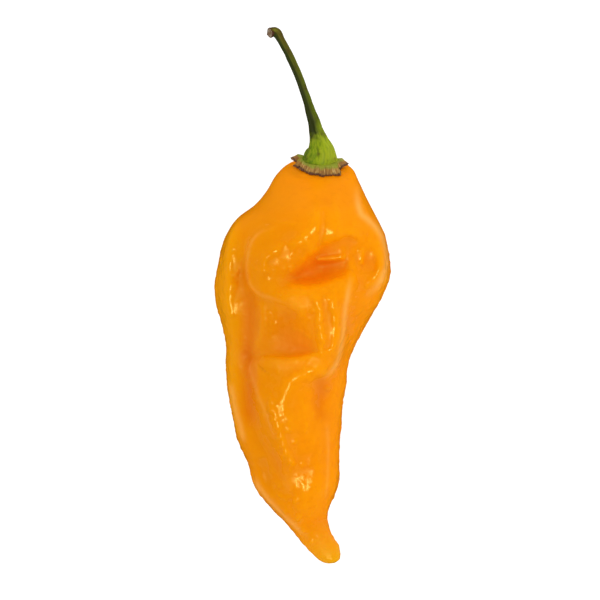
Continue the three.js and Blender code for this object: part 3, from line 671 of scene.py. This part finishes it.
def make_stem():
    """The stem: flared foot, lengthwise ribs, a bend near the top and a torn cut end."""
    foot = CALYX_CLEARANCE + CALYX_CROWN_THICKNESS + STEM_CLEARANCE
    start = CROWN + CROWN_AXIS * foot
    rows = [(*start, STEM_BASE_RADIUS), *STEM_LINE]
    t = np.linspace(1, 0, STEM_RINGS)[:-1]
    x, y, z, radius = np.moveaxis(through(rows, t), -1, 0)
    run = unit((through(rows, t + 0.01) - through(rows, t - 0.01))[:, :3])
    across = unit(np.cross(run, np.array([0, 0, 1.0])))
    over = np.cross(across, run)
    bearing = np.arange(STEM_SIDES) / STEM_SIDES * 2 * np.pi
    line = np.stack([x, y, z], axis=-1)
    rib = STEM_RIB_DEPTH * np.cos(STEM_RIBS * bearing)
    # Place on the stem if it were straight, along which its fibres run
    length = t * np.linalg.norm(np.diff(line, axis=0), axis=1).sum()
    straight = np.stack([radius[:, None] * np.cos(bearing), radius[:, None] * np.sin(bearing),
                         length[:, None] + 0 * bearing], axis=-1)
    near_cut = ramp(t, 0.89, 1.0)[:, None]
    fine = cloud(straight * (1, 1, 0.12), STEM_FIBRES) + cloud(straight, STEM_LUMPS)
    fine = fine + cloud(straight, CUT_FRAY, near_cut)
    r = radius[:, None] * (1 + rib[None, :]) + fine
    rings = (line[:, None] + across[:, None] * (r * np.cos(bearing))[..., None]
             + over[:, None] * (r * np.sin(bearing))[..., None])
    # The cut slants, so that its face looks up, and its edge is torn
    slant = -0.75 * radius[:, None] * (1 + np.sin(bearing)) + cloud(straight, CUT_EDGE)
    rings = rings + run[:, None] * (slant * near_cut)[..., None]
    # The cut face is a shallow cup of torn fibre inside the rim: each ring's share of the way out
    # and its depth, and the depth in the middle
    middle = rings[0].mean(axis=0)
    shares = np.array([0.2, 0.4, 0.6, 0.78, 0.9])
    depths = np.array([0.12, 0.16, 0.16, 0.12, 0.04])
    middle_depth = 0.14
    face = middle + (rings[:1] - middle) * shares[:, None, None]
    face = face - run[0] * (depths[:, None, None] + cloud(face, CUT_FACE)[..., None])
    # Its foot follows the calyx's crown
    seat = [over_crown(reach, bearing, foot) for reach in (STEM_BASE_RADIUS, STEM_BASE_RADIUS / 2)]
    rings = np.concatenate([face, rings, np.stack(seat)])
    straight = np.concatenate([straight[:1]] * len(shares) + [straight] + [straight[-1:]] * 2)
    along = np.concatenate([1 + 0 * shares, t, [0, 0]])[:, None] * np.ones(STEM_SIDES)
    cut = np.concatenate([[1, 1, 1, 0.9, 0.6], 0 * t, [0, 0]])[:, None] * np.ones(STEM_SIDES)
    first = middle - run[0] * middle_depth
    return make_piece("stem_piece", first, rings, start, "root", "stem", {
        "along": (1.0, along, 0.0),
        "cut": (1.0, cut, 0.0),
        "straight": ((0, 0, 0), straight * MM, (0, 0, 0)),
    })


def linear(colour):
    """A colour written as sRGB hex, turned to linear light."""
    parts = [int(colour[i:i + 2], 16) / 255 for i in (1, 3, 5)]
    return [p / 12.92 if p <= 0.04045 else ((p + 0.055) / 1.055) ** 2.4 for p in parts] + [1.0]


def add(tree, kind, settings=None, **inputs):
    """Adds a node with its settings, and sets or links its inputs, each by its name or by an
    underscore and its number."""
    node = tree.nodes.new(kind)
    for key, value in (settings or {}).items():
        setattr(node, key, value)
    for key, value in inputs.items():
        socket = node.inputs[int(key[1:])] if key[0] == "_" else node.inputs[key.replace("_", " ")]
        if isinstance(value, bpy.types.NodeSocket):
            tree.links.new(value, socket)
        else:
            socket.default_value = value
    return node


def new_material(name):
    """A material with an empty node tree, and the tree."""
    material = bpy.data.materials.new(name)
    material.use_nodes = True
    material.node_tree.nodes.clear()
    return material, material.node_tree


def tinted(tree, base, tints):
    """A base colour with each tint laid over it in turn. A tint has what it follows, where it
    starts, where it is full, how strong it then is, and its colour."""
    colour = linear(base)
    for follows, start, full, strength, tint in tints:
        share = add(tree, "ShaderNodeMapRange", {}, Value=follows, From_Min=start, From_Max=full,
                    To_Max=strength)
        layer = add(tree, "ShaderNodeMix", {"data_type": "RGBA"}, _0=share.outputs[0], _6=colour,
                    _7=linear(tint))
        colour = layer.outputs[2]
    return colour


def waxy_skin():
    """Ripe chilli skin: a thin clear wax over orange flesh that glows a little. It gives the eye a
    wet gloss in small broken highlights, with painted shade that deepens the folds to a redder
    orange and painted highlights that pale the edges to yellow."""
    material, tree = new_material("waxy_chilli_skin")
    place = add(tree, "ShaderNodeTexCoord").outputs["Object"]
    axes = add(tree, "ShaderNodeSeparateXYZ", {}, Vector=place)
    hollow, crease, tip, pale, deep, dull = (
        add(tree, "ShaderNodeAttribute", {"attribute_name": label}).outputs["Fac"]
        for label in ("hollow", "crease", "tip", "pale", "deep", "dull"))
    # Clouds of riper flesh are about 9 mm across, and the mottling under the wax about 1 mm. The
    # skin's own cells are about 0.05 mm, too fine to show, so its grain is drawn ten times as wide.
    patches = add(tree, "ShaderNodeTexNoise", {}, Vector=place, Scale=1 / (9 * MM), Detail=2.0)
    mottle = add(tree, "ShaderNodeTexNoise", {}, Vector=place, Scale=1 / (1.1 * MM), Detail=4.0)
    grain = add(tree, "ShaderNodeTexNoise", {}, Vector=place, Scale=1 / (0.5 * MM), Detail=3.0)
    flesh = tinted(tree, "#f99100", [
        # Painted shade makes the broad hollows redder, and painted light makes the crests yellower
        (hollow, 0.0, 1.1, 1.0, "#f27a00"),
        (hollow, 0.0, -0.7, 1.0, "#fa9400"),
        (patches.outputs["Fac"], 0.42, 0.66, 0.35, "#f08600"),
        # Painted light makes the fine crests yellower too
        (crease, 0.0, -0.12, 0.35, "#ffa200"),
        (mottle.outputs["Fac"], 0.52, 0.68, 0.35, "#ee8200"),
        # Painted shade makes its left half duller, and painted light makes it yellow again at the
        # far left
        (axes.outputs["X"], 0.5 * MM, -6.0 * MM, 0.7, "#e68800"),
        (axes.outputs["X"], -10.5 * MM, -12.5 * MM, 0.5, "#f0a000"),
        # Less ripe at the tip
        (tip, 0.8, 0.97, 0.95, "#eca600"),
        # Painted shade, deep red-orange, in the main creases, and painted highlights, pale, along
        # the edges
        (deep, 0.0, 1.0, 0.75, "#e06a00"),
        (pale, 0.0, 1.0, 0.7, "#ffb250"),
    ])
    # The grain is faint on the smooth dome near the calyx
    lobes = add(tree, "ShaderNodeMapRange", {}, Value=axes.outputs["Y"], From_Min=13 * MM,
                From_Max=7 * MM, To_Min=0.15, To_Max=0.8)
    bump = add(tree, "ShaderNodeBump", {}, Strength=lobes.outputs[0], Distance=0.05 * MM,
               Height=grain.outputs["Fac"])
    # The gloss is wet on the crests, and duller where the wax is thin, in the hollows and in the
    # fine grooves
    worn = add(tree, "ShaderNodeMapRange", {}, Value=dull, From_Max=0.8, To_Min=0.2, To_Max=0.6)
    sunk = add(tree, "ShaderNodeMapRange", {}, Value=hollow, From_Min=0.15, From_Max=0.7,
               To_Min=worn.outputs[0], To_Max=0.6)
    rough = add(tree, "ShaderNodeMapRange", {}, Value=crease, From_Min=0.02, From_Max=0.12,
                To_Min=sunk.outputs[0], To_Max=0.5)
    # Plant wax has an IOR of about 1.42. The orange flesh close under it warms the highlights, and
    # light spreads about 2 mm through it, red the furthest.
    shader = add(tree, "ShaderNodeBsdfPrincipled", {}, Base_Color=flesh, Roughness=rough.outputs[0],
                 IOR=1.42, Specular_IOR_Level=0.34, Specular_Tint=linear("#ffee88"),
                 Subsurface_Weight=0.12, Subsurface_Radius=(1.0, 0.35, 0.08),
                 Subsurface_Scale=2.0 * MM, Normal=bump.outputs["Normal"])
    add(tree, "ShaderNodeOutputMaterial", {}, Surface=shader.outputs[0])
    return material


def dry_calyx():
    """Dried calyx tissue: tan papery fibre with pale flecks, which browns to a torn dark edge and
    greens where the stalk begins. It looks matt."""
    material, tree = new_material("dry_calyx_tissue")
    place = add(tree, "ShaderNodeTexCoord").outputs["Object"]
    straight = add(tree, "ShaderNodeAttribute", {"attribute_name": "straight"}).outputs["Vector"]
    # Its fibres are about 0.05 mm wide, and drawn four times as wide so that they show. They run
    # out from the stem. Flecks are about 0.8 mm, and blotches about 2 mm.
    drawn_out = add(tree, "ShaderNodeMapping", {}, Vector=straight, Scale=(1, 1, 0.3))
    fibre = add(tree, "ShaderNodeTexNoise", {}, Vector=drawn_out.outputs[0], Scale=1 / (0.2 * MM),
                Detail=3.0)
    mottle = add(tree, "ShaderNodeTexNoise", {}, Vector=place, Scale=1 / (0.8 * MM), Detail=5.0)
    blotch = add(tree, "ShaderNodeTexNoise", {}, Vector=place, Scale=1 / (1.8 * MM), Detail=2.0)
    rim = add(tree, "ShaderNodeAttribute", {"attribute_name": "rim"}).outputs["Fac"]
    ragged = add(tree, "ShaderNodeMath", {"operation": "MULTIPLY_ADD"}, _0=mottle.outputs["Fac"],
                 _1=0.7, _2=rim)
    tissue = tinted(tree, "#a8781e", [
        # Pale straw fibres with brown between them, and browner blotches
        (fibre.outputs["Fac"], 0.5, 0.66, 0.75, "#d8b868"),
        (fibre.outputs["Fac"], 0.48, 0.34, 0.6, "#80520e"),
        (blotch.outputs["Fac"], 0.55, 0.68, 0.6, "#8a5a18"),
        # Green next to the stem, and burnt brown at the torn rim
        (ragged.outputs[0], 0.72, 0.4, 0.9, "#8c9a0a"),
        (ragged.outputs[0], 1.2, 1.36, 0.95, "#5e3610"),
    ])
    bump = add(tree, "ShaderNodeBump", {}, Strength=0.6, Distance=0.12 * MM,
               Height=fibre.outputs["Fac"])
    shader = add(tree, "ShaderNodeBsdfPrincipled", {}, Base_Color=tissue, Roughness=0.75,
                 Normal=bump.outputs["Normal"])
    add(tree, "ShaderNodeOutputMaterial", {}, Surface=shader.outputs[0])
    return material


def ribbed_stem():
    """Green stalk: striped lime at its flared foot, then dull olive with brown patches, yellower on
    the right side as painted light and dark on the left side as painted shade, and a pale torn cut
    with a brown edge. It looks fibrous and satin."""
    material, tree = new_material("green_stalk")
    place = add(tree, "ShaderNodeTexCoord").outputs["Object"]
    along = add(tree, "ShaderNodeAttribute", {"attribute_name": "along"}).outputs["Fac"]
    cut = add(tree, "ShaderNodeAttribute", {"attribute_name": "cut"}).outputs["Fac"]
    straight = add(tree, "ShaderNodeAttribute", {"attribute_name": "straight"}).outputs["Vector"]
    # Its fibres are about 0.1 mm wide, and drawn at 0.45 mm so that they show. Streaks are about
    # 1.2 mm wide, and dry flecks 1.3 mm.
    drawn_out = add(tree, "ShaderNodeMapping", {}, Vector=straight, Scale=(1, 1, 0.07))
    fibre = add(tree, "ShaderNodeTexNoise", {}, Vector=drawn_out.outputs[0], Scale=1 / (0.45 * MM),
                Detail=3.0)
    streak = add(tree, "ShaderNodeTexNoise", {}, Vector=drawn_out.outputs[0], Scale=1 / (1.2 * MM),
                 Detail=2.0)
    mottle = add(tree, "ShaderNodeTexNoise", {}, Vector=place, Scale=1 / (1.3 * MM), Detail=4.0)
    # How far towards -X from the stem's middle, in millimetres, with a wavering edge
    across = add(tree, "ShaderNodeSeparateXYZ", {}, Vector=straight).outputs[0]
    left = add(tree, "ShaderNodeMath", {"operation": "MULTIPLY_ADD"}, _0=across, _1=-1 / MM,
               _2=streak.outputs["Fac"])
    # Towards the cut end, where it is dry, with an uneven edge
    dry = add(tree, "ShaderNodeMath", {"operation": "MULTIPLY_ADD"}, _0=mottle.outputs["Fac"],
              _1=0.25, _2=along)
    green = tinted(tree, "#7a9600", [
        # Lime stripes and darker green between them
        (fibre.outputs["Fac"], 0.48, 0.62, 0.8, "#a2bc0c"),
        (fibre.outputs["Fac"], 0.5, 0.38, 0.7, "#587800"),
        # Painted light makes it yellower on the right, and painted shade darker on the left
        (left.outputs[0], 2.2, -1.6, 0.5, "#b0b428"),
        (left.outputs[0], 0.8, 2.4, 0.7, "#56700a"),
        # Olive above the flare, then browner, with pale fibres and brown flecks
        (dry.outputs[0], 0.24, 0.46, 1.0, "#566206"),
        (dry.outputs[0], 0.62, 0.95, 1.0, "#564c10"),
        (fibre.outputs["Fac"], 0.5, 0.64, 0.45, "#8e9020"),
        (mottle.outputs["Fac"], 0.54, 0.68, 0.5, "#4a3418"),
    ])
    # Painted shade darkens the left side above the flare
    side = add(tree, "ShaderNodeMapRange", {}, Value=left.outputs[0], From_Min=0.15, From_Max=0.75)
    upper = add(tree, "ShaderNodeMapRange", {}, Value=dry.outputs[0], From_Min=0.28, From_Max=0.38)
    shaded = add(tree, "ShaderNodeMath", {"operation": "MULTIPLY"}, _0=side.outputs[0],
                 _1=upper.outputs[0])
    dark = add(tree, "ShaderNodeMix", {"data_type": "RGBA"}, _0=shaded.outputs[0], _6=green,
               _7=linear("#2e3604"))
    # A brown edge round the cut, and pale torn flesh with brown flecks inside it
    end = add(tree, "ShaderNodeMapRange", {}, Value=dry.outputs[0], From_Min=1.04, From_Max=1.1)
    browned = add(tree, "ShaderNodeMix", {"data_type": "RGBA"}, _0=end.outputs[0],
                  _6=dark.outputs[2], _7=linear("#50280e"))
    inside = tinted(tree, "#aca28c", [(mottle.outputs["Fac"], 0.46, 0.6, 0.85, "#6a4626")])
    torn = add(tree, "ShaderNodeMix", {"data_type": "RGBA"}, _0=cut, _6=browned.outputs[2],
               _7=inside)
    bump = add(tree, "ShaderNodeBump", {}, Strength=0.5, Distance=0.1 * MM,
               Height=fibre.outputs["Fac"])
    shader = add(tree, "ShaderNodeBsdfPrincipled", {}, Base_Color=torn.outputs[2], Roughness=0.55,
                 Specular_IOR_Level=0.08, Normal=bump.outputs["Normal"])
    add(tree, "ShaderNodeOutputMaterial", {}, Surface=shader.outputs[0])
    return material


def white_table():
    """A white sweep that the light nearly burns out."""
    material, tree = new_material("white_table")
    shader = add(tree, "ShaderNodeBsdfPrincipled", {}, Base_Color=linear("#a0a0a0"), Roughness=0.9,
                 Emission_Color=(1, 1, 1, 1), Emission_Strength=0.85)
    add(tree, "ShaderNodeOutputMaterial", {}, Surface=shader.outputs[0])
    return material


def softbox(name, place, target, width, length, power):
    """A rectangular lamp that faces a target, all in millimetres."""
    lamp = bpy.data.lights.new(name, "AREA")
    lamp.shape = "RECTANGLE"
    lamp.size, lamp.size_y = width * MM, length * MM
    lamp.energy = power
    holder = bpy.data.objects.new(name, lamp)
    holder.location = Vector(place) * MM
    holder.rotation_euler = (Vector(target) - Vector(place)).to_track_quat("-Z", "Y").to_euler()
    holder.visible_camera = False
    bpy.context.scene.collection.objects.link(holder)
    return holder


def set_the_stage():
    """The white table, the lights and the camera."""
    # The table reaches 3 m each way and lies a hair lower than the flat spot, so that the two don't
    # flicker. The gloss doesn't mirror it.
    reach, drop = 3.0, 0.02
    mesh = bpy.data.meshes.new("table_top")
    mesh.from_pydata([(-reach, -reach, 0), (reach, -reach, 0), (reach, reach, 0),
                      (-reach, reach, 0)], [], [(0, 1, 2, 3)])
    table = bpy.data.objects.new("table_top", mesh)
    table.location.z = -drop * MM
    table.visible_glossy = False
    mesh.materials.append(white_table())
    bpy.context.scene.collection.objects.link(table)

    # A white tent all round, a little brighter on the right and behind the stem. The gloss doesn't
    # mirror it either, so the skin keeps its deep colour.
    world = bpy.data.worlds.new("studio")
    bpy.context.scene.world = world
    world.use_nodes = True
    world.cycles_visibility.glossy = False
    tree = world.node_tree
    direction = add(tree, "ShaderNodeTexCoord").outputs["Generated"]
    lean = add(tree, "ShaderNodeVectorMath", {"operation": "DOT_PRODUCT"}, _0=direction,
               _1=(0.7, 0.7, 0.0))
    tent = add(tree, "ShaderNodeMapRange", {}, Value=lean.outputs["Value"], From_Min=-1.0,
               To_Min=0.9, To_Max=1.2)
    sky = tree.nodes["Background"]
    sky.inputs["Color"].default_value = (1.0, 1.0, 1.0, 1.0)
    tree.links.new(tent.outputs[0], sky.inputs["Strength"])

    # The tent and the glowing table light the form, and the key over the tip gives the highlights
    # alone
    key = softbox("key", (30, -270, 680), (0, 0, 10), 240, 240, 4.8)
    key.visible_diffuse = False
    bpy.context.scene.view_settings.view_transform = "Standard"

    # The photo is 600 pixels square at 0.18 mm a pixel. The camera looks straight down on this
    # point in the middle of it, from far off, as through a long lens.
    frame_width = 600 * 0.18
    middle = (-0.36, -0.54, 12.0)
    distance = 900.0
    camera = bpy.data.cameras.new("camera")
    camera.sensor_width = 36.0
    camera.lens = camera.sensor_width * distance / frame_width
    camera.clip_end = 20.0
    holder = bpy.data.objects.new("camera", camera)
    holder.location = (middle[0] * MM, middle[1] * MM, (middle[2] + distance) * MM)
    bpy.context.scene.collection.objects.link(holder)
    bpy.context.scene.camera = holder


make_pod().data.materials.append(waxy_skin())
make_calyx().data.materials.append(dry_calyx())
make_stem().data.materials.append(ribbed_stem())
set_the_stage()
